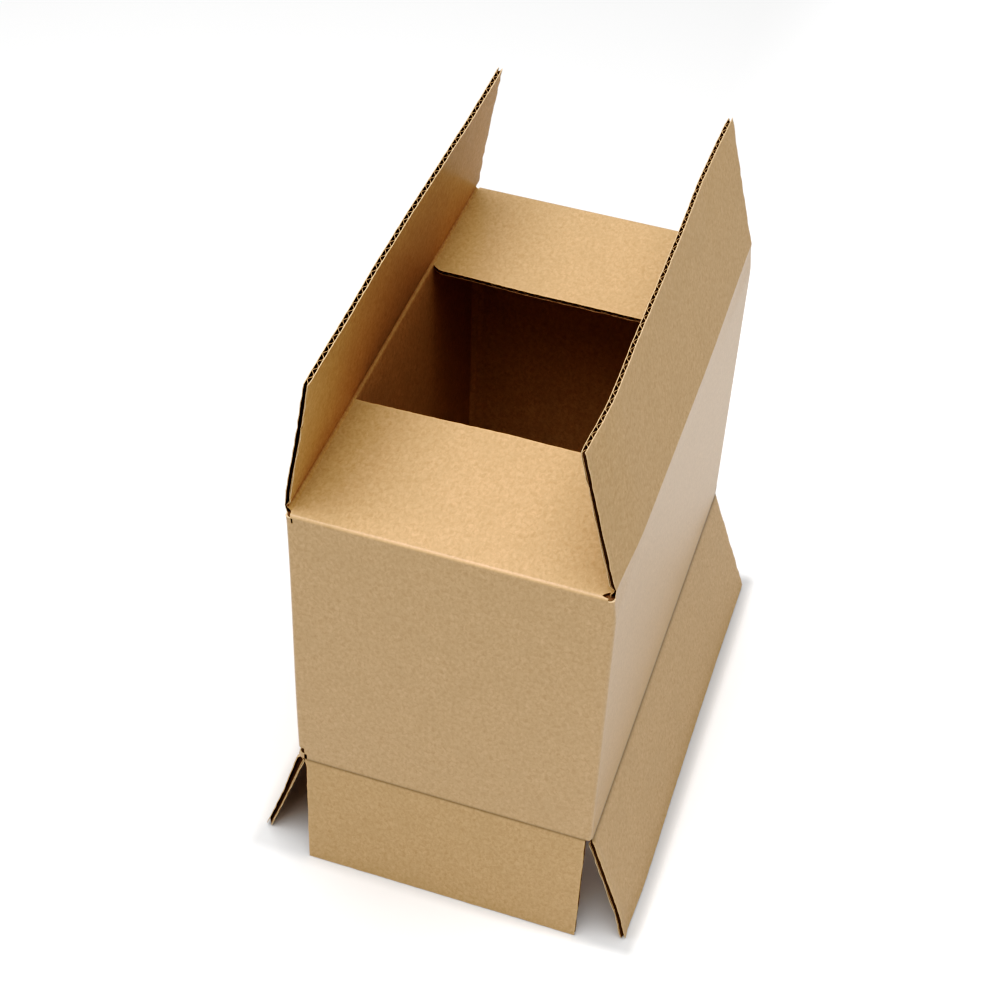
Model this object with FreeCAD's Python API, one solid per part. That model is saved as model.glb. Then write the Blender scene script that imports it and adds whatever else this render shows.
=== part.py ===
import FreeCAD, Part
import math
import os

# Open carton of single-wall corrugated board, standing on its bottom flaps.
# Millimetres, +Z up. Origin: centre of the footprint, on the floor.
# +X is the box's right side, -Y its front.

# ---- driving dimensions ---------------------------------------------------
WIDTH = 170.0            # outside, left wall to right wall (X)
LENGTH = 290.0           # outside, front wall to back wall (Y)
HEIGHT = 196.0           # front wall, bottom crease to top crease
BOARD = 3.0              # board thickness
PITCH = 6.4              # one flute, crest to crest
LINER = 0.35             # thickness of each facing sheet
MEDIUM = 0.30            # thickness of the fluted sheet at its crests
CREST = 0.25             # half width of the glued crest of a flute
STEP_UP = 3.2            # the side creases lie this far outside the end creases
FLAP = 84.8              # outer flap length, crease to free edge
FRONT_MINOR = 88.5       # front top flap, crease to free edge
BACK_MINOR = 86.0        # back top flap, crease to free edge
SLOT = 3.4               # set-back of each flap's side edge from the corner
SLOT_MINOR = 3.3
HINGE_GAP = 0.1          # bare line between wall and flap at a crease
LEAN_LEFT = 9.2          # left top flap, degrees inward from upright
LEAN_RIGHT = 15.3        # right top flap, degrees inward from upright
SPLAY_SIDE = 19.2        # bottom side flaps, degrees outward from hanging
SPLAY_END = 4.7          # bottom front and back flaps, degrees outward
TAB_WIDTH = 30.0         # glued seam tab, inside the back wall
TAB_END = 6.0            # how far the tab's ends slope in
POST_ROUND = 1.8         # outer radius of the upright corner folds
END_CREASE_Z = 84.5      # height of the front bottom crease over the floor

SIDE_CREASE_Z = END_CREASE_Z - STEP_UP
TOP_END_Z = END_CREASE_Z + HEIGHT
TOP_SIDE_Z = TOP_END_Z + STEP_UP

V = FreeCAD.Vector


def face_of(points):
    return Part.Face(Part.makePolygon([V(*p) for p in points] + [V(*points[0])]))


def cell(centre, upper):
    """One hollow between the fluted sheet and a facing sheet, in (u, v)."""
    w = PITCH / 2.0 - CREST
    depth = BOARD - 2.0 * LINER - MEDIUM
    pts = []
    for f in (-1.0, -0.62, -0.26, 0.26, 0.62, 1.0):
        d = depth * (1.0 + math.cos(math.pi * f)) / 2.0
        v = BOARD - LINER - d if upper else LINER + d
        pts.append((centre + f * w, v))
    return pts


def cells(u0, u1, open_edges):
    """Whole hollows inside u0..u1, and those that the side edges cut open."""
    whole, cut = [], []
    w = PITCH / 2.0 - CREST
    n = int(math.ceil((u1 - u0) / PITCH)) + 2
    for i in range(-2 * n, 2 * n + 1):
        centre = i * PITCH / 2.0
        pts = cell(centre, i % 2 == 0)
        lo, hi = centre - w, centre + w
        if lo > u0 + 0.5 and hi < u1 - 0.5:
            whole.append(pts)
        elif open_edges and hi > u0 + 0.9 and lo < u1 - 0.9 and (lo < u0 + 0.5 or hi > u1 - 0.5):
            cut.append(pts)
    return whole, cut


def section(u0, u1, open_edges):
    """Cross-section of the board across its flutes, outer face at v = 0."""
    whole, cut = cells(u0, u1, open_edges)
    outline = [(u0, 0.0), (u1, 0.0), (u1, BOARD), (u0, BOARD)]
    wires = [Part.makePolygon([V(a, b, 0) for a, b in pts] + [V(pts[0][0], pts[0][1], 0)])
             for pts in [outline] + whole]
    face = Part.makeFace(wires, "Part::FaceMakerBullseye")
    if cut:
        face = face.cut([face_of([(a, b, 0) for a, b in pts]) for pts in cut])
    return face


def board(u0, u1, side_view, open_edges):
    """Fluted board over u0..u1, trimmed to an outline in (v, s).

    Flutes run along s. The trimmed ends carry the crease mitres.
    """
    s0 = min(s for v, s in side_view) - 1.0
    s1 = max(s for v, s in side_view) + 1.0
    body = section(u0, u1, open_edges).extrude(V(0, 0, s1 - s0))
    body.translate(V(0, 0, s0))
    trim = face_of([(u0 - 1.0, v, s) for v, s in side_view]).extrude(V(u1 - u0 + 2.0, 0, 0))
    out = body.common(trim)
    return out.Solids[0] if len(out.Solids) == 1 else out


def wall(u0, u1, low, high, relief_low, relief_high):
    b = BOARD
    return board(u0, u1, [(0, low), (b, low + relief_low), (b, high - relief_high), (0, high)], False)


def flap(half, length):
    """Upright flap over its hinge line at s = 0, mitred on the inner side."""
    m = BOARD + HINGE_GAP
    return board(-half, half, [(0, HINGE_GAP), (0, length), (BOARD, length), (BOARD, HINGE_GAP + m)], True)


def hanging_flap(half, length):
    m = BOARD + HINGE_GAP
    return board(-half, half, [(0, -HINGE_GAP), (BOARD, -HINGE_GAP - m), (BOARD, -length), (0, -length)], True)


def seat(shape, hinge_z, distance, turn, fold=0.0):
    """Fold about the hinge line, lift it to its height and turn it to its side.

    turn 0 is the front, 90 the right, 180 the back, 270 the left.
    """
    s = shape.copy()
    if fold:
        s.rotate(V(0, 0, 0), V(1, 0, 0), fold)
    s.translate(V(0, -distance, hinge_z))
    if turn:
        s.rotate(V(0, 0, 0), V(0, 0, 1), turn)
    return s


def corner_post(sx, sy):
    """Upright corner fold, with a rounded outer edge in flats."""
    x1, y1 = WIDTH / 2.0, LENGTH / 2.0
    r = POST_ROUND
    pts = [(x1 - BOARD, y1 - BOARD), (x1, y1 - BOARD)]
    for a in (0.0, 30.0, 60.0, 90.0):
        t = math.radians(a)
        pts.append((x1 - r + r * math.cos(t), y1 - r + r * math.sin(t)))
    pts.append((x1 - BOARD, y1))
    pts = [(sx * x, sy * y, END_CREASE_Z) for x, y in pts]
    return face_of(pts).extrude(V(0, 0, HEIGHT))


def seam_tab():
    """Glued tab of the right wall, flat against the inside of the back wall."""
    x1 = WIDTH / 2.0 - BOARD
    x0 = x1 - TAB_WIDTH
    y1 = LENGTH / 2.0 - BOARD
    low, high = END_CREASE_Z + BOARD + 2.5, TOP_END_Z - BOARD - 2.5
    slab = section(x0, x1, False)
    slab.translate(V(0, y1 - BOARD, low))
    slab = slab.extrude(V(0, 0, high - low))
    outline = face_of([(x1, y1 - BOARD - 1, low), (x1, y1 - BOARD - 1, high),
                       (x0, y1 - BOARD - 1, high - TAB_END), (x0, y1 - BOARD - 1, low + TAB_END)])
    return slab.common(outline.extrude(V(0, BOARD + 2.0, 0)))


def carton_body():
    """Four walls, corner folds, seam tab and the two tucked-in top flaps."""
    half_w, half_l = WIDTH / 2.0, LENGTH / 2.0
    relief = BOARD + HINGE_GAP
    end = wall(-half_w + BOARD, half_w - BOARD, END_CREASE_Z, TOP_END_Z, relief, BOARD)
    side = wall(-half_l + BOARD, half_l - BOARD, SIDE_CREASE_Z, TOP_SIDE_Z, relief, relief)
    pieces = [seat(end, 0, half_l, 0), seat(end, 0, half_l, 180),
              seat(side, 0, half_w, 90), seat(side, 0, half_w, 270)]
    pieces += [corner_post(sx, sy) for sx in (-1, 1) for sy in (-1, 1)]
    pieces.append(seam_tab())
    half = half_w - SLOT_MINOR
    for length, turn in ((FRONT_MINOR, 0), (BACK_MINOR, 180)):
        top = board(-half, half, [(0, 0), (0, length), (BOARD, length), (BOARD, BOARD)], True)
        pieces.append(seat(top, TOP_END_Z, half_l, turn, -90.0))
    out = pieces[0].multiFuse(pieces[1:])
    return out


def on_floor(shape):
    """Flatten the edge that carries the box, where it meets the floor."""
    below = Part.makeBox(600, 600, 50, V(-300, -300, -50))
    return shape.cut(below)


def single(shape, name):
    if len(shape.Solids) != 1:
        raise ValueError("%s is %d solids" % (name, len(shape.Solids)))
    solid = shape.Solids[0]
    if not solid.isValid():
        raise ValueError("%s is not valid" % name)
    return solid


def build():
    half_w, half_l = WIDTH / 2.0, LENGTH / 2.0
    side_up = flap(half_l - SLOT, FLAP)
    side_down = hanging_flap(half_l - SLOT, FLAP)
    end_down = hanging_flap(half_w - SLOT_MINOR, FLAP)
    return {
        "carton_body": carton_body(),
        "left_top_flap": seat(side_up, TOP_SIDE_Z, half_w, 270, -LEAN_LEFT),
        "right_top_flap": seat(side_up, TOP_SIDE_Z, half_w, 90, -LEAN_RIGHT),
        "left_bottom_flap": seat(side_down, SIDE_CREASE_Z, half_w, 270, -SPLAY_SIDE),
        "right_bottom_flap": seat(side_down, SIDE_CREASE_Z, half_w, 90, -SPLAY_SIDE),
        "front_bottom_flap": on_floor(seat(end_down, END_CREASE_Z, half_l, 0, -SPLAY_END)),
        "back_bottom_flap": on_floor(seat(end_down, END_CREASE_Z, half_l, 180, -SPLAY_END)),
    }


os.makedirs("parts", exist_ok=True)
for node, shape in build().items():
    solid = single(shape, node)
    solid.exportStep("parts/%s.step" % node)
    box = solid.BoundBox
    print("%-18s faces %5d  volume %9.1f mm3  x %.2f..%.2f  y %.2f..%.2f  z %.2f..%.2f" % (
        node, len(solid.Faces), solid.Volume, box.XMin, box.XMax, box.YMin, box.YMax, box.ZMin, box.ZMax))
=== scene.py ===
import bpy
import math
import numpy as np
from mathutils import Matrix, Vector


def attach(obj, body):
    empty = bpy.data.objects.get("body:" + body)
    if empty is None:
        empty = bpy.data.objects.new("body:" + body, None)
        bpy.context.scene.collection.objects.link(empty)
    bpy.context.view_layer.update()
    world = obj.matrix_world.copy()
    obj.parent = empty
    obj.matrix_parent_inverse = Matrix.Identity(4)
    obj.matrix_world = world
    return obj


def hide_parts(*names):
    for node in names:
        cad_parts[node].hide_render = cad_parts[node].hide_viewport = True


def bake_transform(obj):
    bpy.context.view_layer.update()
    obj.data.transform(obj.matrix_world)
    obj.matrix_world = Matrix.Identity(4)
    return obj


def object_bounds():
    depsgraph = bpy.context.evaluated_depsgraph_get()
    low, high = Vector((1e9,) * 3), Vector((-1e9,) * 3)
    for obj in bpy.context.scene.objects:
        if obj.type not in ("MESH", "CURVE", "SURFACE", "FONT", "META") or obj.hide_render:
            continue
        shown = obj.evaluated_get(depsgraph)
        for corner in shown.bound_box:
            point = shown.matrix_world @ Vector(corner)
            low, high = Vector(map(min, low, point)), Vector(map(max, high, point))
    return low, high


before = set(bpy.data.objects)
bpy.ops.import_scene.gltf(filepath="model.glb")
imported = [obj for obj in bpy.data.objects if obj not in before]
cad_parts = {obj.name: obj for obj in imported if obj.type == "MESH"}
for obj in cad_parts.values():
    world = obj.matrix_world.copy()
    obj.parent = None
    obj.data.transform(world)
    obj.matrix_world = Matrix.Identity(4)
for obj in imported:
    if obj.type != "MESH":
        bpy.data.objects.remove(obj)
cad_lo, cad_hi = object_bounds()

# ---- the box, in millimetres ----------------------------------------------
# Every panel is described in its own (u, v, s): u along the panel, v from the
# outer face inward, s along the flutes. turn 0 is the front, 90 the right,
# 180 the back and 270 the left.
W, L, T = 170.0, 290.0, 3.0
PITCH = 6.4
LINER = 0.40
MED = 0.34
Z_END_LOW, Z_END_TOP = 84.5, 280.5
Z_SIDE_LOW, Z_SIDE_TOP = 81.3, 283.7
Z_RING_LOW, Z_RING_TOP = 89.0, 275.5
NOTCH = 1.7    # the slots run this far below the end creases
FLAP = 84.8
HALF_SIDE, HALF_END = 141.6, 81.7
LEAN_L, LEAN_R, SPLAY_SIDE, SPLAY_END = 9.2, 15.3, -19.2, -4.7
DIST = {0: L / 2, 180: L / 2, 90: W / 2, 270: W / 2}
BLANK_U = {0: 0.0, 90: 230.0, 180: 460.0, 270: -230.0}  # panel centres on the unfolded sheet


def smooth(a, b, x):
    t = np.clip((np.asarray(x, float) - a) / (b - a), 0, 1)
    return t * t * (3 - 2 * t)


def ripple(seed, waves, size):
    """A smooth, repeatable wobble of one variable: waves are wavelengths in mm."""
    rng = np.random.default_rng(seed)
    k = [(2 * math.pi / w, rng.uniform(0, 2 * math.pi), rng.uniform(0.5, 1.0)) for w in waves]
    n = sum(a for _, _, a in k)
    return lambda x: size * sum(a * np.sin(f * np.asarray(x, float) + p) for f, p, a in k) / n


def wall_in(turn, u, z):
    """How far the wall stands in from its flat place, in mm."""
    u = np.asarray(u, float)
    z = np.asarray(z, float)
    high = smooth(262, 283, z)
    if turn == 90:  # both ends of this wall's top lean in with its flap
        return (1.7 * smooth(20, 150, u) + 1.9 * smooth(-95, -143, u)) * high + 0.35 * np.cos(math.pi * u / 300) * smooth(90, 180, z) * (1 - high)
    if turn == 270:
        return 0.5 * smooth(40, 150, -u) * high + smooth(40, 145, u) * (2.2 * smooth(100, 272, z) - 1.2 - 1.2 * smooth(276, 283.7, z)) \
            + 0.35 * np.cos(math.pi * u / 300) * smooth(90, 180, z) * (1 - high)
    return 0.25 * np.cos(math.pi * u / 180) * smooth(90, 180, z) * (1 - smooth(200, 272, z)) + 0.0 * u


def corner_shift(turn, u, z):
    """A panel's end follows the lean of the wall that it is folded from."""
    half = W / 2 if turn in (0, 180) else L / 2
    other = L / 2 if turn in (0, 180) else W / 2
    ahead = wall_in((turn + 90) % 360, -other + 0 * u, z) * (1 - smooth(2.0, 7.0, half - u))
    behind = wall_in((turn - 90) % 360, other + 0 * u, z) * (1 - smooth(2.0, 7.0, half + u))
    return behind - ahead


def to_world(turn, u, v, z):
    a = math.radians(turn)
    x, y = u, v - DIST[turn]
    return np.stack([x * math.cos(a) - y * math.sin(a), x * math.sin(a) + y * math.cos(a), z], -1)


class Soup:
    """Gathers closed sheets into one mesh, with the sheet's own flat coordinates."""

    def __init__(self):
        self.v, self.f, self.m, self.blank, self.crease = [], [], [], [], []
        self.n = 0

    def sheet(self, A, B, blank_a, blank_b, crease, mats, mask=None, loop=False, flip=False, wall_rows=0, wall_kind=0):
        """A closed sheet between two grids of points. mats: face A, face B, rims."""
        nu, ns = A.shape[:2]
        cu = nu if loop else nu - 1
        mask = np.ones((cu, ns - 1), bool) if mask is None else mask
        idx = np.arange(nu * ns).reshape(nu, ns)
        off = nu * ns
        i, j = np.nonzero(mask)
        i2 = (i + 1) % nu
        quad_a = np.stack([idx[i, j], idx[i2, j], idx[i2, j + 1], idx[i, j + 1]], 1)
        quad_b = quad_a[:, ::-1] + off
        faces, kinds = [quad_a, quad_b], [np.full(len(quad_a), mats[0]), np.full(len(quad_b), mats[1])]
        if wall_rows:  # the strip of wall below a crease keeps the wall's finish
            kinds[0][j < wall_rows] = wall_kind

        def gone(a, b):
            if loop:
                a = a % nu
            ok = (a >= 0) & (a < cu) & (b >= 0) & (b < ns - 1)
            r = np.ones(len(a), bool)
            r[ok] = ~mask[a[ok], b[ok]]
            return r
        for e in ("low", "high", "left", "right"):
            if e == "low":
                k = gone(i, j - 1)
                p, q = idx[i[k], j[k]], idx[i2[k], j[k]]
                r = np.stack([p, p + off, q + off, q], 1)
            elif e == "high":
                k = gone(i, j + 1)
                p, q = idx[i2[k], j[k] + 1], idx[i[k], j[k] + 1]
                r = np.stack([p, p + off, q + off, q], 1)
            elif e == "left":
                k = gone(i - 1, j)
                p, q = idx[i[k], j[k] + 1], idx[i[k], j[k]]
                r = np.stack([p, p + off, q + off, q], 1)
            else:
                k = gone(i + 1, j)
                p, q = idx[i2[k], j[k]], idx[i2[k], j[k] + 1]
                r = np.stack([p, p + off, q + off, q], 1)
            faces.append(r)
            kinds.append(np.full(len(r), mats[2]))
        faces, kinds = np.concatenate(faces), np.concatenate(kinds)
        if flip:
            faces = faces[:, ::-1]
        points = np.concatenate([A.reshape(-1, 3), B.reshape(-1, 3)])
        blank = np.concatenate([blank_a.reshape(-1, 3), blank_b.reshape(-1, 3)])
        crease = np.concatenate([crease.reshape(-1)] * 2)
        used = np.unique(faces)
        new = np.full(len(points), -1)
        new[used] = np.arange(len(used))
        self.v.append(points[used])
        self.blank.append(blank[used])
        self.crease.append(crease[used])
        self.f.append(new[faces] + self.n)
        self.m.append(kinds)
        self.n += len(used)

    def build(self, name, materials, sharp=38):
        v = np.clip(np.concatenate(self.v) * 0.001, np.array(cad_lo) + 0.00002, np.array(cad_hi) - 0.00002)
        f = np.concatenate(self.f)
        mesh = bpy.data.meshes.new(name)
        mesh.vertices.add(len(v))
        mesh.vertices.foreach_set("co", v.astype(np.float32).ravel())
        mesh.loops.add(f.size)
        mesh.loops.foreach_set("vertex_index", f.astype(np.int32).ravel())
        mesh.polygons.add(len(f))
        mesh.polygons.foreach_set("loop_start", (np.arange(len(f)) * 4).astype(np.int32))
        mesh.update(calc_edges=True)
        for m in materials:
            mesh.materials.append(m)
        mesh.polygons.foreach_set("material_index", np.concatenate(self.m).astype(np.int32))
        mesh.polygons.foreach_set("use_smooth", np.ones(len(f), bool))
        a = mesh.attributes.new("blank", "FLOAT_VECTOR", "POINT")
        a.data.foreach_set("vector", (np.concatenate(self.blank)).astype(np.float32).ravel())
        a = mesh.attributes.new("crease", "FLOAT", "POINT")
        a.data.foreach_set("value", np.concatenate(self.crease).astype(np.float32))
        mesh.set_sharp_from_angle(angle=math.radians(sharp))
        mesh.validate()
        mesh.update()
        o = bpy.data.objects.new(name, mesh)
        bpy.context.scene.collection.objects.link(o)
        return o


# ---- a fluted flap with its crease and the strip of wall it hangs from -----
def fold(q, off, phi, radius):
    """(v, s) of a point off inside the outer face, q along the sheet from the
    crease. phi is the fold in degrees, inward positive."""
    a = math.radians(phi)
    tau = max(radius * math.tan(abs(a) / 2), 1e-6)
    alpha = a * np.clip((q + tau) / (2 * tau), 0, 1)
    sign = 1.0 if a >= 0 else -1.0
    arc_v = sign * radius * (1 - np.cos(alpha))
    arc_s = -tau + radius * np.abs(np.sin(alpha))
    low, high = q < -tau, q > tau
    v = np.where(low, 0.0, np.where(high, q * math.sin(a), arc_v))
    s = np.where(low, q, np.where(high, q * math.cos(a), arc_s))
    return v + off * np.cos(alpha), s - off * np.sin(alpha)


def thickness(q, ends=None):
    x = np.abs(q)
    return (1.1 + (T - 1.1) * smooth(0.5, 3.5, x)) / T


def flap_sheets(soup, turn, up, zh, half, depth, run_in, phi, radius, seed, warp, tip, mats, face="out", crush=0.0, edge=None,
                wear=0.0, wear_width=1.0, flare=None, ragged=0.0):
    """Outer facing, fluted sheet and inner facing of one flap."""
    u_lo, u_hi = -half, half
    rng = np.random.default_rng(seed)
    wob = [ripple(seed + i, (3.1, 7.3, 13.7, 31.0), 0.16) for i in range(3)]
    slow = ripple(seed + 9, (60.0, 110.0, 230.0), 0.22)
    thick_wob = ripple(seed + 5, (5.9, 11.3, 23.0, 47.0), 1.0)
    side_wob = ripple(seed + 7, (9.0, 21.0, 40.0), 0.22)
    side_thick = ripple(seed + 8, (7.0, 12.0, 26.0), 1.0)

    def q_grid(n_far):
        near = np.concatenate([np.linspace(-run_in, -4.0, 3)[:-1] if run_in > 4.2 else np.array([-run_in]),
                               np.array([-3.6, -2.8, -2.2, -1.8, -1.35, -0.9, -0.45, 0, 0.45, 0.9, 1.35, 1.8, 2.2, 2.8, 3.6])])
        far = np.linspace(6, depth - 8, n_far)
        end = depth - np.array([5, 3, 1.8, 1.0, 0.5, 0.2, 0.0])
        return np.concatenate([near, far, end])

    def lay(u, q, v, which):
        """Points of layer v (0 to T) at u, q."""
        far = smooth(depth - 5, depth, q)
        end = smooth(depth - 14, depth - 1, q)
        # the cut edge is a little uneven, and the board a little crushed there
        q2 = q + far * (wob[which](u) + slow(u)) - (ragged * far * (0.7 + 0.5 * thick_wob(u * 2.3)) if which else 0) + (0 if edge is None else smooth(0, depth, q) * edge(u))
        squeeze = 1 - end * np.clip(0.04 + (0.05 + crush) * (0.6 + thick_wob(u)), 0, 0.6)
        edge_side = np.maximum(smooth(u_hi - 3.0, u_hi, u), smooth(u_lo + 3.0, u_lo, u)) * smooth(3, 9, q)
        squeeze = squeeze * (1 - edge_side * np.clip(0.10 + 0.30 * side_thick(q + 50 * np.sign(u)), 0, 0.5))
        mid = 0.45 * T
        vv = mid + (v - mid) * squeeze
        if flare is not None:
            vv = vv - flare(u, q) * (1 - v / T)
        vv = vv * thickness(q)
        base = wall_in(turn, u, zh + np.where(up, 1, -1) * np.minimum(q, 0))
        pv, ps = fold(q2, vv, phi, radius)
        a = math.radians(phi)
        w = warp(u, np.maximum(q, 0)) + 0.10 * end * thick_wob(u * 1.3 + 40)
        pv = pv + base + w * math.cos(a)
        ps = ps - w * math.sin(a)
        rim = np.maximum(smooth(u_hi - 6, u_hi, u), smooth(u_lo + 6, u_lo, u))
        u2 = u + np.sign(u) * rim * smooth(2, 8, q) * side_wob(q + 90 * which + 40 * np.sign(u)) + tip(u, q)
        z = zh + ps if up else np.maximum(zh - ps, 0.03)
        u2 = u2 + corner_shift(turn, u, zh + np.where(up, 1, -1) * np.minimum(q, 0)) * (1 - smooth(0, 6, q))
        return to_world(turn, u2, pv, z)

    def blank(u, q, v):
        flat = (zh + q) if up else (zh - q)
        return np.stack([u + BLANK_U[turn], flat, v], -1)

    # the crease value: a fold value above zero gives a pale worn fold line with a painted highlight, below zero it
    # paints shade into the crease groove
    def crease_of(q):
        # cut: a painted edge highlight, pale along the free edge and the side edges
        cut = np.maximum(smooth(depth - 1.1, depth - 0.25, q), smooth(half - 1.0, half - 0.25, np.abs(U)) * (q > 0.5))
        return wear * np.exp(-(q / wear_width) ** 2) + 0.85 * cut

    # facings
    n_u = int(2 * half / 2.2)
    u_line = np.linspace(u_lo, u_hi, n_u + 1)
    u_line = np.unique(np.concatenate([u_line, [u_lo + 0.8, u_hi - 0.8]]))
    q_line = q_grid(18)
    U, Q = np.meshgrid(u_line, q_line, indexing="ij")
    C = crease_of(Q)
    rows = int(np.sum(q_line < -0.2))
    for a, b, m, which in ((0.0, LINER, (mats[face], mats["flute"], mats["raw"]), 0), (T - LINER, T, (mats["flute"], mats["in"], mats["raw"]), 1)):
        soup.sheet(lay(U, Q, np.full_like(U, a), which), lay(U, Q, np.full_like(U, b), which),
                   blank(U, Q, np.full_like(U, a)), blank(U, Q, np.full_like(U, b)), C, m, flip=not up,
                   wall_rows=0 if which else rows, wall_kind=mats["out"])
    # fluted sheet
    step = PITCH / 10
    n_m = int((u_hi - u_lo - 0.7) / step)
    u_line = np.linspace(u_lo + 0.35, u_hi - 0.35, n_m + 1)
    q_line = np.concatenate([[-run_in + 0.2, -3.4, -1.8, 0, 1.8, 3.4, 8], np.linspace(20, depth - 12, 5), depth - 0.35 - np.array([6, 3, 1.4, 0.5, 0])])
    U, Q = np.meshgrid(u_line, q_line, indexing="ij")
    amp = (T - 2 * LINER - MED) / 2 + 0.03
    jitter = 0.35 * smooth(depth - 10, depth, Q) * ripple(seed + 3, (17.0, 29.0, 53.0), 1.0)(U)
    ph = 2 * math.pi * (U + jitter) / PITCH
    centre = T / 2 + amp * np.cos(ph)
    slope = np.abs(amp * 2 * math.pi / PITCH * np.sin(ph))
    t_half = MED / 2 * np.sqrt(1 + slope ** 2) * 0.92
    Cm = np.zeros_like(U)
    soup.sheet(lay(U, Q, centre - t_half, 2), lay(U, Q, centre + t_half, 2), blank(U, Q, centre), blank(U, Q, centre), Cm,
               (mats["flute"], mats["flute"], mats["fluteedge"]), flip=not up)


# ---- the four walls, with rounded upright folds and their inner beads ------
def ring_sheets(soup, mats):
    hx, hy = W / 2, L / 2
    r = 2.0
    outer, inner, flat, tag = [], [], [], []

    def corner(rot, blank_at):
        # a corner at (+,+) going from the right face to the back face, in the
        # frame turned by rot; (da, db) are distances back from the sharp corner
        o, n = [], []
        straight = [7.5, 5.5, 4.4, 3.4]
        for d in straight:
            o.append((0.0, d))
        for a in (0, 15, 30, 45, 60, 75, 90):
            t = math.radians(a)
            o.append((r - r * math.cos(t), r - r * math.sin(t)))
        for d in reversed(straight):
            o.append((d, 0.0))
        half = [(3.0, 10.4), (2.9, 9.6), (3.0, 8.9), (3.6, 8.2), (4.5, 7.4), (5.4, 6.7), (6.0, 6.3)]
        n = half + [(6.2, 6.2)] + [(b, a) for a, b in reversed(half)]
        return o, n
    o_c, n_c = corner(0, 0)
    # panels run counter-clockwise: front, right, back, left
    rows = []
    for turn in (0, 90, 180, 270):
        hu = W / 2 if turn in (0, 180) else L / 2
        inner_u = np.linspace(-(hu - 11.0), hu - 11.0, 34 if turn in (0, 180) else 56)
        for u in inner_u:
            rows.append((turn, u, 0.0, turn, u, T, 0))
        for (da, db), (ia, ib) in zip(o_c, n_c):
            # da: distance in from this panel's face, db: distance back from the corner along it
            rows.append((turn, hu - db, da, turn, hu - ib, ia, 1))
    O = np.array([(t, u, v) for t, u, v, *_ in rows], float)
    I = np.array([(t, u, v) for *_, t, u, v, _ in rows], float)
    is_corner = np.array([x[-1] for x in rows])
    zs = np.unique(np.concatenate([[Z_END_LOW, Z_END_LOW + 0.6, Z_END_LOW + 2, Z_RING_LOW, Z_END_TOP, Z_END_TOP - NOTCH, Z_END_TOP - 3, Z_RING_TOP],
                                   np.linspace(Z_RING_LOW, Z_RING_TOP, 28), np.array([94.0, 262, 266, 270, 273.])]))
    A = np.zeros((len(rows), len(zs), 3))
    B = np.zeros_like(A)
    blank_a, blank_b = np.zeros_like(A), np.zeros_like(A)
    crease = np.zeros(A.shape[:2])
    bead = ripple(4, (22.0, 51.0, 90.0), 0.12)
    for k in range(len(rows)):
        t = int(O[k, 0])
        hu = W / 2 if t in (0, 180) else L / 2
        u, v = O[k, 1], O[k, 2]
        shift = wall_in(t, np.full_like(zs, min(u, hu)), zs)
        nxt = (t + 90) % 360
        if is_corner[k]:  # the fold follows both of its walls
            hn = W / 2 if nxt in (0, 180) else L / 2
            other = wall_in(nxt, np.full_like(zs, -hn), zs)
            for grid, (pu, pv), back in ((A, (u, v), 0.0), (B, (I[k, 1], I[k, 2]), T)):
                own = 1 - smooth(2.0, 7.0, max(pv - back, 0.0))
                theirs = 1 - smooth(2.0, 7.0, max(hu - pu - back, 0.0))
                grid[k] = to_world(t, np.full_like(zs, pu) - other * theirs, np.full_like(zs, pv) + shift * own + (bead(zs) * 0.5 if back else 0), zs)
        else:
            A[k] = to_world(t, np.full_like(zs, u), np.full_like(zs, v) + shift, zs)
            B[k] = to_world(t, np.full_like(zs, I[k, 1]), np.full_like(zs, I[k, 2]) + shift, zs)
        base = BLANK_U[t] + u + (v if is_corner[k] else 0)
        blank_a[k] = np.stack([np.full_like(zs, base), zs, np.zeros_like(zs)], -1)
        blank_b[k] = np.stack([np.full_like(zs, base), zs, np.full_like(zs, T)], -1)
    n = len(rows)
    zc = (zs[:-1] + zs[1:]) / 2
    mask = np.zeros((n, len(zs) - 1), bool)
    mask[:, (zc > Z_RING_LOW) & (zc < Z_RING_TOP)] = True
    # corner zones reach up and down to the end creases, between the slots
    for k in range(n):
        k2 = (k + 1) % n
        mid = (A[k, 0] + A[k2, 0]) / 2
        if abs(mid[0]) > HALF_END and abs(mid[1]) > HALF_SIDE:
            mask[k, (zc < Z_END_TOP - NOTCH) & (zc > Z_END_LOW + 0.6)] = True
    # the outer facing is left out over the front left slot, where a dark patch paints the shadow at the top of the
    # folded crease
    shade_patch_mask = mask.copy()
    for k in range(n):
        mid = (A[k, 0] + A[(k + 1) % n, 0]) / 2
        if mid[0] < -83.0 and mid[1] < -137:
            shade_patch_mask[k, (zc > 88.9) & (zc < 94.0)] = False
    for a, b, m in ((0.0, 0.13, ("out", "flute", "raw")), (0.16, 0.84, ("shade_patch", "flute", "flute")), (0.87, 1.0, ("flute", "in", "raw"))):
        soup.sheet(A + (B - A) * a, A + (B - A) * b, blank_a + (blank_b - blank_a) * a, blank_a + (blank_b - blank_a) * b, crease,
                   [mats[x] for x in m], mask=shade_patch_mask if a == 0.0 else mask, loop=True)


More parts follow.
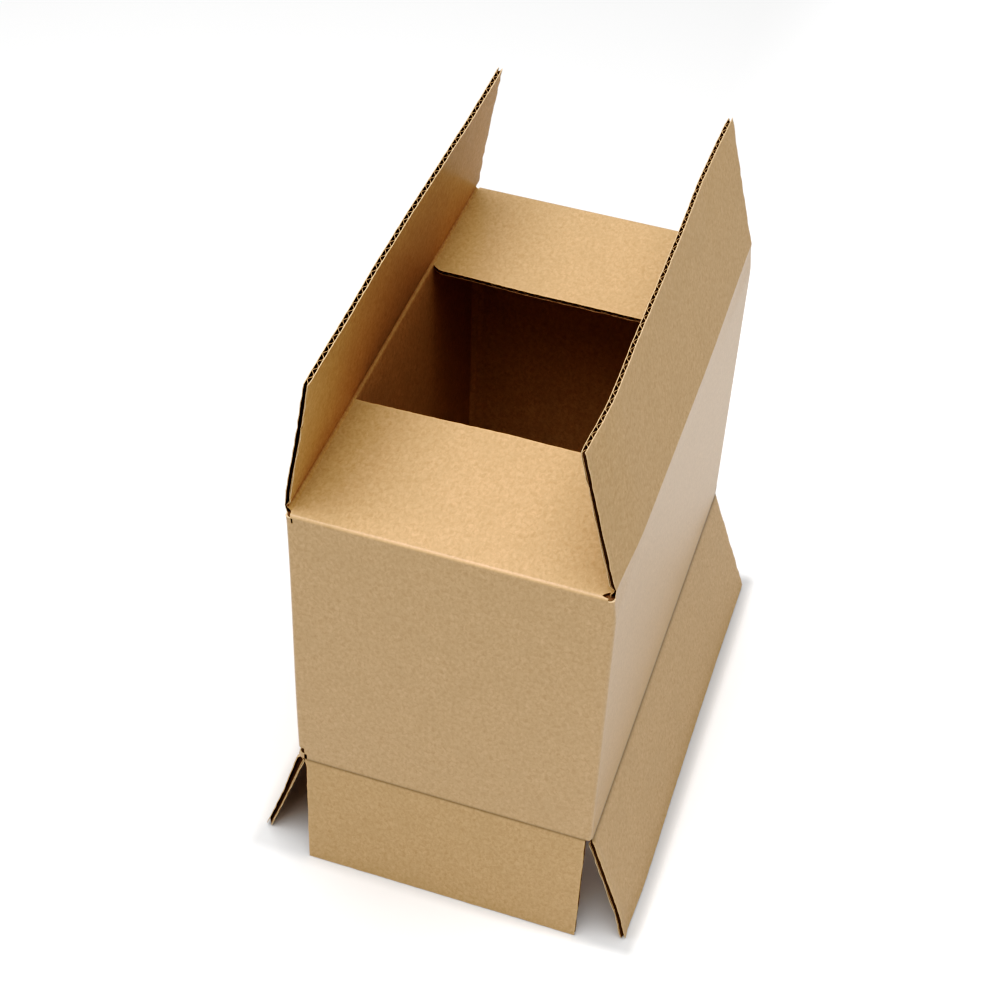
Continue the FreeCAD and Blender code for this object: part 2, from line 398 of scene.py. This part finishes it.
def tab_sheets(soup, mats):
    """The glued seam tab, pressed flat inside the back wall at its right end."""
    x1, x0 = W / 2 - T + 0.1, W / 2 - T - 30.0
    y1 = L / 2 - T + 0.05
    us = np.concatenate([[x0, x0 + 0.25, x0 + 0.8], np.linspace(x0 + 2.5, x1, 12)])
    ts = np.concatenate([[0, 0.0015, 0.005], np.linspace(0.02, 0.98, 40), [0.995, 0.9985, 1]])
    U, S = np.meshgrid(us, ts, indexing="ij")
    low, high = Z_END_LOW + T + 2.5, Z_END_TOP - T - 2.5
    slope = 6.0 * (x1 - U) / (x1 - x0)
    Z = (low + slope) + S * ((high - slope) - (low + slope))
    edge = np.minimum(smooth(0, 1.2, U - x0), smooth(0, 1.0, np.minimum(Z - low - slope, high - slope - Z) + 0.15))
    depth = 2.0 + 0.7 * edge + 0.06 * ripple(8, (9.0, 21.0), 1.0)(Z)
    A = np.stack([U, y1 - depth, Z], -1)
    B = np.stack([U, np.full_like(U, y1), Z], -1)
    bl = np.stack([U + 900, Z, np.full_like(U, T)], -1)
    soup.sheet(A, B, bl, bl, np.zeros_like(U), (mats["in"], mats["in"], mats["raw"]))


# ---- materials --------------------------------------------------------------
def lin(r, g, b):
    def f(c):
        c /= 255.0
        return c / 12.92 if c <= 0.04045 else ((c + 0.055) / 1.055) ** 2.4
    return (f(r), f(g), f(b), 1.0)


def kraft(name, base, dark, light, rough=0.75, bump=0.10, board=0.05, satin=0.42, pale_wear_and_highlight=0.5, seed=0.0):
    """Kraft liner: fibre fleck, soft mottling, a faint washboard of the flutes."""
    m = bpy.data.materials.new(name)
    m.use_nodes = True
    nt = m.node_tree
    nt.nodes.clear()
    N, K = nt.nodes.new, nt.links.new
    out = N("ShaderNodeOutputMaterial")
    bsdf = N("ShaderNodeBsdfPrincipled")
    bsdf.inputs["Roughness"].default_value = rough
    bsdf.inputs["Specular IOR Level"].default_value = 0.12
    # sized and calendered paper: a faint satin skin, strong only at a low angle
    bsdf.inputs["Coat Weight"].default_value = satin
    bsdf.inputs["Coat Roughness"].default_value = 0.28
    bsdf.inputs["Coat IOR"].default_value = 1.5
    K(bsdf.outputs[0], out.inputs[0])
    at = N("ShaderNodeAttribute")
    at.attribute_name = "blank"

    def math_node(op, a, b=None, clamp=False):
        n = N("ShaderNodeMath")
        n.operation = op
        n.use_clamp = clamp
        for i, x in enumerate((a, b)):
            if x is None:
                continue
            if isinstance(x, (int, float)):
                n.inputs[i].default_value = x
            else:
                K(x, n.inputs[i])
        return n.outputs[0]

    def scaled(sx, sy, sz):
        n = N("ShaderNodeVectorMath")
        n.operation = "MULTIPLY"
        K(at.outputs["Vector"], n.inputs[0])
        n.inputs[1].default_value = (sx, sy, sz)
        n2 = N("ShaderNodeVectorMath")
        n2.operation = "ADD"
        K(n.outputs[0], n2.inputs[0])
        n2.inputs[1].default_value = (seed, seed * 1.7, 0)
        return n2.outputs[0]

    def noise(vec, scale, detail=2.0, rough_=0.5, dist=0.0):
        n = N("ShaderNodeTexNoise")
        K(vec, n.inputs["Vector"])
        n.inputs["Scale"].default_value = scale
        n.inputs["Detail"].default_value = detail
        n.inputs["Roughness"].default_value = rough_
        n.inputs["Distortion"].default_value = dist
        return n.outputs["Fac"]

    def ramp(fac, a, b):
        n = N("ShaderNodeMapRange")
        n.clamp = True
        K(fac, n.inputs["Value"])
        n.inputs["From Min"].default_value = a
        n.inputs["From Max"].default_value = b
        return n.outputs[0]

    def mix(fac, a, b):
        n = N("ShaderNodeMix")
        n.data_type = "RGBA"
        if isinstance(fac, float):
            n.inputs["Factor"].default_value = fac
        else:
            K(fac, n.inputs["Factor"])
        for i, x in ((6, a), (7, b)):
            if isinstance(x, tuple):
                n.inputs[i].default_value = x
            else:
                K(x, n.inputs[i])
        return n.outputs[2]

    fibre = noise(scaled(1.0, 0.7, 1.0), 0.55, 2.5, 0.55, 0.8)       # 1 to 2 mm fleck
    strand = noise(scaled(0.42, 1.5, 1.0), 0.8, 2.0, 0.6, 1.2)       # fibres across the flutes
    cloud = noise(scaled(1.0, 0.8, 1.0), 0.055, 3.0, 0.55)            # slow mottling
    grit = noise(scaled(1.0, 1.0, 1.0), 2.2, 1.0, 0.5)
    c = mix(ramp(fibre, 0.26, 0.76), dark, light)
    c = mix(math_node("MULTIPLY", ramp(strand, 0.52, 0.80), 0.35), c, base)
    c = mix(math_node("MULTIPLY", ramp(grit, 0.62, 0.78), 0.35), c, tuple(x * 0.72 for x in dark[:3]) + (1.0,))
    c = mix(math_node("MULTIPLY", ramp(cloud, 0.40, 0.68), 0.30), c, tuple(x * 0.90 for x in base[:3]) + (1.0,))
    cr = N("ShaderNodeAttribute")
    cr.attribute_name = "crease"
    # pale: worn liner with a painted highlight, where the crease value is positive (folds and cut edges)
    pale = tuple(min(1.0, x * 1.28 + 0.03) for x in base[:3]) + (1.0,)
    c = mix(math_node("MULTIPLY", cr.outputs["Fac"], pale_wear_and_highlight, clamp=True), c, pale)
    # painted shade: darkens the colour where the crease value is negative, a shade line in the crease groove
    c = mix(math_node("MULTIPLY", cr.outputs["Fac"], -0.8, clamp=True), c, tuple(x * 0.35 for x in dark[:3]) + (1.0,))
    K(c, bsdf.inputs["Base Color"])
    sep = N("ShaderNodeSeparateXYZ")
    K(at.outputs["Vector"], sep.inputs[0])
    wash = math_node("SINE", math_node("MULTIPLY", sep.outputs[0], 2 * math.pi / PITCH))
    h = math_node("ADD", math_node("MULTIPLY", fibre, bump), math_node("MULTIPLY", wash, board))
    h = math_node("ADD", h, math_node("MULTIPLY", noise(scaled(1, 1, 1), 0.03, 2.0), 0.6))
    b = N("ShaderNodeBump")
    b.inputs["Distance"].default_value = 0.001
    b.inputs["Strength"].default_value = 0.5
    K(h, b.inputs["Height"])
    K(b.outputs[0], bsdf.inputs["Normal"])
    rr = N("ShaderNodeMapRange")
    K(fibre, rr.inputs["Value"])
    rr.inputs["To Min"].default_value = rough + 0.06
    rr.inputs["To Max"].default_value = rough - 0.06
    K(rr.outputs[0], bsdf.inputs["Roughness"])
    return m


BASE, DARK, LIGHT = lin(193, 161, 119), lin(180, 147, 106), lin(204, 172, 131)
M_OUT = kraft("kraft_outer", BASE, DARK, LIGHT, satin=0.60)
M_IN = kraft("kraft_inner", lin(198, 161, 115), lin(184, 146, 101), lin(210, 174, 128), satin=0.18, pale_wear_and_highlight=0.35, seed=31.0)
M_TOP = kraft("kraft_top_flap", BASE, DARK, LIGHT, satin=0.14)
M_LOW = kraft("kraft_bottom_flap", BASE, DARK, LIGHT, satin=0.30)
M_RAW = kraft("cut_edge", lin(214, 186, 148), lin(196, 166, 126), lin(226, 202, 168), rough=0.85, satin=0.0, board=0.0, pale_wear_and_highlight=0.0, seed=7.0)
# painted shade: the fluted sheet and the liners' inner faces inside the flute channels are coloured far darker than the
# fluted sheet's own cut edge (fluted_edge)
M_FLUTE_SHADED = kraft("fluted_sheet_painted_shade", lin(112, 84, 60), lin(92, 68, 48), lin(130, 100, 74), rough=0.85, satin=0.0, board=0.0, pale_wear_and_highlight=0.0, seed=13.0)
M_FEDGE = kraft("fluted_edge", lin(196, 164, 126), lin(172, 138, 100), lin(214, 184, 148), rough=0.9, satin=0.0, board=0.0, pale_wear_and_highlight=0.0, seed=19.0)
# painted shade: a dark patch for the shadow at the top of the folded crease over the front left slot
M_SHADE_PATCH = kraft("painted_shade_patch", lin(84, 62, 42), lin(62, 45, 30), lin(104, 80, 56), rough=0.9, satin=0.0, board=0.0, pale_wear_and_highlight=0.0, seed=23.0)
MATS = [M_OUT, M_IN, M_RAW, M_FLUTE_SHADED, M_FEDGE, M_TOP, M_LOW, M_SHADE_PATCH]
IDX = {"out": 0, "in": 1, "raw": 2, "flute": 3, "fluteedge": 4, "top": 5, "low": 6, "shade_patch": 7}


def still(u, q):
    return 0.0 * u + 0.0 * q


# ---- pieces -----------------------------------------------------------------
body = Soup()
ring_sheets(body, IDX)
tab_sheets(body, IDX)
carton = body.build("walls", MATS)
# the tucks' positive fold values paint a pale line along their top folds: worn liner with a painted highlight
front = Soup()
flap_sheets(front, 0, True, Z_END_TOP, HALF_END, 88.5, 5.0, 90.0, 1.8, 11,
            lambda u, q: -0.25 * smooth(0, 80, q) * np.cos(u / 50), lambda u, q: -0.6 * smooth(-68, -81, u) * smooth(0, 8, q)
            - 3.4 * smooth(70, 81, u) * smooth(0.4, 1.3, q) * (1 - smooth(3.0, 5.5, q)), IDX, wear=0.9, edge=lambda u: 1.4 + 1.5 * smooth(-80, 10, u))
tuck_front = front.build("front_tuck", MATS)
back = Soup()
flap_sheets(back, 180, True, Z_END_TOP, HALF_END, 86.0, 5.0, 90.0, 1.8, 12,
            lambda u, q: -0.2 * smooth(0, 80, q) * np.cos(u / 50), lambda u, q: 0.5 * smooth(68, 81, u) * smooth(1, 8, q),
            IDX, crush=-0.06, wear=0.5, edge=lambda u: -0.6 - 1.9 * smooth(10, 80, u) - 4.5 * smooth(74, 83, u) ** 2,
            ragged=0.5)
tuck_back = back.build("back_tuck", MATS)
for o in (carton, tuck_front, tuck_back):
    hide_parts("carton_body")
    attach(o, "body")


def flap(name, node, child, slot, turn, up, zh, half, depth, run_in, phi, seed, warp, tip=still, **more):
    s = Soup()
    flap_sheets(s, turn, up, zh, half, depth, run_in, phi, 2.2, seed, warp, tip, IDX, "top" if up else "low", **more)
    o = s.build(name, MATS)
    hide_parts(node)
    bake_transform(o)
    return o


flap("left_flap", "left_top_flap", "left_top", "top_flap_board", 270, True, Z_SIDE_TOP, HALF_SIDE, FLAP, 8.2, LEAN_L, 21,
     lambda u, q: np.interp(u, (-141, -122, -85, -45, 0, 50, 90, 141), (-0.4, -0.1, 0.2, -0.2, -0.9, -1.1, -0.4, -0.1)) * (q / 85)
     - 0.6 * smooth(100, 141, u) * smooth(0, 8, q) * (1 - smooth(20, 50, q)),
     lambda u, q: smooth(-70, -141, u) * (2.6 * smooth(0, 30, q) - 1.6 * smooth(60, 85, q)), edge=lambda u: -0.9 + 0.0 * u)
flap("right_flap", "right_top_flap", "right_top", "top_flap_board", 90, True, Z_SIDE_TOP, HALF_SIDE, FLAP, 8.2, LEAN_R, 22,
     lambda u, q: np.interp(u, (-141, -120, -95, -60, -20, 20, 75, 110, 141), (-1.5, -2.1, -1.9, -1.0, -0.7, -0.1, 0.5, -0.4, -1.9)) * (q / 85) ** 1.3,
     lambda u, q: (2.2 * smooth(-80, -141, u) - 2.2 * smooth(80, 141, u)) * q / 85 + 1.4 * smooth(100, 141, u), edge=lambda u: -0.9 + 0.0 * u)
# the negative fold values on the feet paint dark shade lines into their bottom creases
flap("left_foot", "left_bottom_flap", "left_bottom", "bottom_flap_board", 270, False, Z_SIDE_LOW, HALF_SIDE, FLAP, 7.7, SPLAY_SIDE, 23,
     lambda u, q: -0.3 * (q / 85) * np.cos(u / 80) + 1.4 * smooth(-40, 141, u) * q / 85,
     lambda u, q: -1.9 * smooth(70, 141, u) * q / 85, edge=lambda u: -0.8 + 0.0 * u, wear=-0.6,
     flare=lambda u, q: (0.7 + 1.5 * (1 - smooth(4, 48, q))) * smooth(132, 141, u) * smooth(-8, 1, q))
flap("right_foot", "right_bottom_flap", "right_bottom", "bottom_flap_board", 90, False, Z_SIDE_LOW, HALF_SIDE, FLAP, 7.7, SPLAY_SIDE, 24,
     lambda u, q: 1.9 * smooth(100, 141, -u) * smooth(62, 85, q) * smooth(150, 230, -u + q * 1.0 + 30) + 1.1 * (q / 85) * np.cos(u / 95),
     lambda u, q: -3.4 * smooth(-70, -141, u) * q / 85 + smooth(90, 141, u) * (2.2 + 2.0 * q / 85), wear=-1.0, wear_width=2.3, edge=lambda u: -0.8 + 0.0 * u,
     flare=lambda u, q: 0.7 * smooth(-134, -141, u) * smooth(0, 6, q))
flap("front_foot", "front_bottom_flap", "front_bottom", "bottom_flap_board", 0, False, Z_END_LOW, HALF_END, 84.75, 4.5, SPLAY_END, 25,
     lambda u, q: 0.15 * (q / 85) * np.cos(u / 50), lambda u, q: 1.0 * q / 85 + 0.0 * u, wear=-0.9)
flap("back_foot", "back_bottom_flap", "back_bottom", "bottom_flap_board", 180, False, Z_END_LOW, HALF_END, 84.75, 4.5, SPLAY_END, 26,
     lambda u, q: 0.15 * (q / 85) * np.cos(u / 45))

# ---- floor, lights, camera ---------------------------------------------------
GLOW = (0.16, 0.40)
fm = bpy.data.materials.new("floor")
fm.use_nodes = True
fb = fm.node_tree.nodes["Principled BSDF"]
fb.inputs["Base Color"].default_value = (0.74, 0.74, 0.74, 1)
fb.inputs["Roughness"].default_value = 0.9
fb.inputs["Specular IOR Level"].default_value = 0.1
# painted light: the floor glows, apart from where the box stands and brighter towards the right, so that it reads white
# and lights the box from below
ft = fm.node_tree


def fnode(kind, op=None, *inputs):
    n = ft.nodes.new(kind)
    if op:
        n.operation = op
    for i, x in enumerate(inputs):
        if isinstance(x, (int, float)):
            n.inputs[i].default_value = x
        elif x is not None:
            ft.links.new(x, n.inputs[i])
    return n


fg = fnode("ShaderNodeNewGeometry")
fs = fnode("ShaderNodeSeparateXYZ", None, fg.outputs["Position"])
dx = fnode("ShaderNodeMath", "MAXIMUM", fnode("ShaderNodeMath", "SUBTRACT", fnode("ShaderNodeMath", "ABSOLUTE", fs.outputs[0]).outputs[0], 0.113).outputs[0], 0.0)
dy = fnode("ShaderNodeMath", "MAXIMUM", fnode("ShaderNodeMath", "SUBTRACT", fnode("ShaderNodeMath", "ABSOLUTE", fs.outputs[1]).outputs[0], 0.150).outputs[0], 0.0)
far = fnode("ShaderNodeMath", "SQRT", fnode("ShaderNodeMath", "ADD", fnode("ShaderNodeMath", "POWER", dx.outputs[0], 2.0).outputs[0],
                                            fnode("ShaderNodeMath", "POWER", dy.outputs[0], 2.0).outputs[0]).outputs[0])
glow = fnode("ShaderNodeMapRange")
glow.interpolation_type = "SMOOTHSTEP"
ft.links.new(far.outputs[0], glow.inputs["Value"])
glow.inputs["From Min"].default_value = 0.0
glow.inputs["From Max"].default_value = 0.010
glow.inputs["To Min"].default_value = 0.0
side = fnode("ShaderNodeMapRange")
side.interpolation_type = "SMOOTHSTEP"
ft.links.new(fs.outputs[0], side.inputs["Value"])
side.inputs["From Min"].default_value = -0.05
side.inputs["From Max"].default_value = 0.16
side.inputs["To Min"].default_value = GLOW[0]
side.inputs["To Max"].default_value = GLOW[1]
ft.links.new(side.outputs[0], glow.inputs["To Max"])
fb.inputs["Emission Color"].default_value = (1, 1, 1, 1)
ft.links.new(glow.outputs[0], fb.inputs["Emission Strength"])
me = bpy.data.meshes.new("floor")
S = 12.0
me.from_pydata([(-S, -S, -0.0004), (S, -S, -0.0004), (S, S, -0.0004), (-S, S, -0.0004)], [], [(0, 1, 2, 3)])
me.materials.append(fm)
floor = bpy.data.objects.new("floor", me)
bpy.context.scene.collection.objects.link(floor)

world = bpy.data.worlds.new("studio")
bpy.context.scene.world = world
world.use_nodes = True
world.node_tree.nodes["Background"].inputs[0].default_value = (1, 1, 1, 1)
world.node_tree.nodes["Background"].inputs[1].default_value = 0.37


def area(name, at, to, size, power, colour=(1, 1, 1)):
    d = bpy.data.lights.new(name, "AREA")
    d.shape = "RECTANGLE"
    d.size, d.size_y = size
    d.energy = power
    d.color = colour
    o = bpy.data.objects.new(name, d)
    o.location = at
    o.rotation_mode = "QUATERNION"
    o.rotation_quaternion = (Vector(to) - Vector(at)).to_track_quat("-Z", "Y")
    bpy.context.scene.collection.objects.link(o)
    return o


area("top_softbox", (-0.18, -0.26, 2.0), (0, 0, 0.15), (1.8, 1.8), 51)

cam = bpy.data.cameras.new("camera")
camera = bpy.data.objects.new("camera", cam)
bpy.context.scene.collection.objects.link(camera)
cam.sensor_width = 36.0
cam.lens = 67.599
cam.clip_start, cam.clip_end = 0.05, 60
CAM_AT = (0.197634, -0.726563, 0.938256)
RIGHT = Vector((0.9491436, 0.3133746, 0.0303776))
UP = Vector((-0.2427711, 0.6670207, 0.7043760))
BACK = Vector((0.2004711, -0.6759288, 0.7091767))
camera.matrix_world = Matrix(((RIGHT.x, UP.x, BACK.x, CAM_AT[0]), (RIGHT.y, UP.y, BACK.y, CAM_AT[1]),
                              (RIGHT.z, UP.z, BACK.z, CAM_AT[2]), (0, 0, 0, 1)))
bpy.context.scene.camera = camera

view = bpy.context.scene.view_settings
view.view_transform = "Standard"
view.look = "None"
view.exposure = 0.0
view.gamma = 1.0
# a studio camera's contrast: a firm toe under the mid tones
view.use_curve_mapping = True
tone = view.curve_mapping
tone.use_clip = False
tone.extend = "EXTRAPOLATED"
curve = tone.curves[3]
for x, y in ((0.02, 0.0012), (0.056, 0.0125), (0.109, 0.050), (0.19, 0.143), (0.32, 0.285), (0.55, 0.52), (0.78, 0.745)):
    curve.points.new(x, y)
for p in curve.points:
    p.handle_type = "AUTO_CLAMPED"
tone.update()
